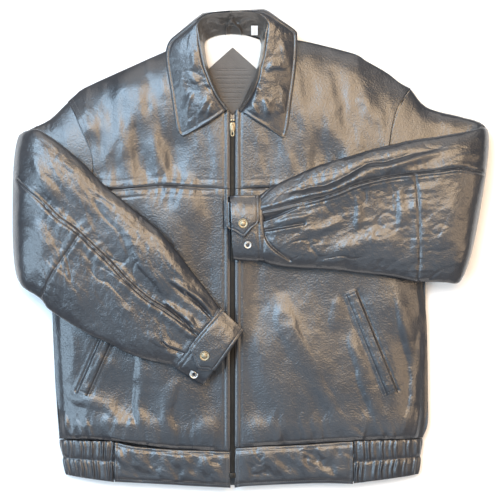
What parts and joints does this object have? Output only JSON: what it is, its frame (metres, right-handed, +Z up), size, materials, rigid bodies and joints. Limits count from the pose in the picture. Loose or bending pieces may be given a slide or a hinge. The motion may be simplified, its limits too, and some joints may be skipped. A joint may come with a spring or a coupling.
{
  "type": "leather jacket",
  "caption": "Hip-length black leather jacket lying flat with its sleeves folded over the front; zip slider, sleeves, cuff tabs and collar move.",
  "frame": {"origin": "middle of the jacket's footprint on the table", "axes": "+Z up from the table, +Y towards the collar, +X the wearer's left"},
  "size_m": [0.7138, 0.715, 0.0633],
  "materials": {
    "leather": "glossy black garment leather, worn soft",
    "lining": "smooth pale satin",
    "pocket_cloth": "plain woven cotton",
    "locker_leather": "matt grey-brown suede side",
    "zip_tape": "woven black tape",
    "zip_metal": "darkened antique brass",
    "snap_brass": "antique brass, satin",
    "snap_steel": "nickel plate",
    "label": "woven satin label"
  },
  "bodies": {
    "torso": {"back_panel": "leather", "back_yoke": "leather", "waistband_back": "leather", "collar_back_fall": "leather", "collar_band": "leather", "hanger_loop": "leather", "wind_flap": "leather", "right_front_panel": "leather", "right_front_yoke": "leather", "right_waistband_front": "leather", "right_waistband_side": "leather", "right_pocket_welt": "leather", "right_sleeve_outer": "leather", "right_sleeve_inner": "leather", "right_front_lining": "lining", "right_sleeve_lining": "lining", "right_pocket_bag": "pocket_cloth", "right_zip_tape": "zip_tape", "right_zip_teeth": "zip_metal", "right_top_stop": "zip_metal", "left_front_panel": "leather", "left_front_yoke": "leather", "left_waistband_front": "leather", "left_waistband_side": "leather", "left_pocket_welt": "leather", "left_sleeve_outer": "leather", "left_sleeve_inner": "leather", "left_front_lining": "lining", "left_sleeve_lining": "lining", "left_pocket_bag": "pocket_cloth", "left_zip_tape": "zip_tape", "left_zip_teeth": "zip_metal", "left_top_stop": "zip_metal", "back_lining": "lining", "locker_patch": "locker_leather", "size_label": "label", "zip_bottom_box": "zip_metal"},
    "zip_slider": {"zip_slider": "zip_metal"},
    "zip_pull": {"zip_pull": "zip_metal"},
    "right_forearm": {"right_forearm_top": "leather", "right_forearm_outer": "leather", "right_forearm_inner": "leather", "right_forearm_lining": "lining", "right_cuff": "leather", "right_spare_snap": "snap_steel"},
    "right_cuff_tab": {"right_cuff_tab": "leather", "right_snap_cap": "snap_brass"},
    "right_collar_leaf": {"right_collar_leaf": "leather"},
    "left_forearm": {"left_forearm_top": "leather", "left_forearm_outer": "leather", "left_forearm_inner": "leather", "left_forearm_lining": "lining", "left_cuff": "leather", "left_spare_snap": "snap_steel"},
    "left_cuff_tab": {"left_cuff_tab": "leather", "left_snap_cap": "snap_brass"},
    "left_collar_leaf": {"left_collar_leaf": "leather"}
  },
  "joints": [
    {"name": "zip_slider", "type": "slide", "parent": "torso", "child": "zip_slider", "axis": [0, -1, 0], "range_m": [0, 0.505]},
    {"name": "zip_pull", "type": "hinge", "parent": "zip_slider", "child": "zip_pull", "pos_m": [-0.02736, 0.18676, 0.03305], "axis": [-1, 0, 0], "range_deg": [0, 150]},
    {"name": "right_elbow", "type": "hinge", "parent": "torso", "child": "right_forearm", "pos_m": [-0.26186, 0.00726, 0.0625], "axis": [-0.5182, -0.8553, 0], "range_deg": [0, 70]},
    {"name": "left_elbow", "type": "hinge", "parent": "torso", "child": "left_forearm", "pos_m": [0.24764, 0.05676, 0.0625], "axis": [-0.019, 0.9998, 0], "range_deg": [0, 70]},
    {"name": "right_cuff_tab", "type": "hinge", "parent": "right_forearm", "child": "right_cuff_tab", "pos_m": [-0.02736, -0.10624, 0.0603], "axis": [-0.741, 0.6715, 0], "range_deg": [0, 110]},
    {"name": "left_cuff_tab", "type": "hinge", "parent": "left_forearm", "child": "left_cuff_tab", "pos_m": [-0.01186, 0.07676, 0.0603], "axis": [-0.9998, -0.0213, 0], "range_deg": [0, 110]},
    {"name": "right_collar_leaf", "type": "hinge", "parent": "torso", "child": "right_collar_leaf", "pos_m": [-0.05636, 0.26376, 0.0465], "axis": [-0.3596, 0.9331, 0], "range_deg": [0, 75]},
    {"name": "left_collar_leaf", "type": "hinge", "parent": "torso", "child": "left_collar_leaf", "pos_m": [0.00264, 0.26376, 0.0465], "axis": [-0.3239, -0.9461, 0], "range_deg": [0, 75]}
  ]
}
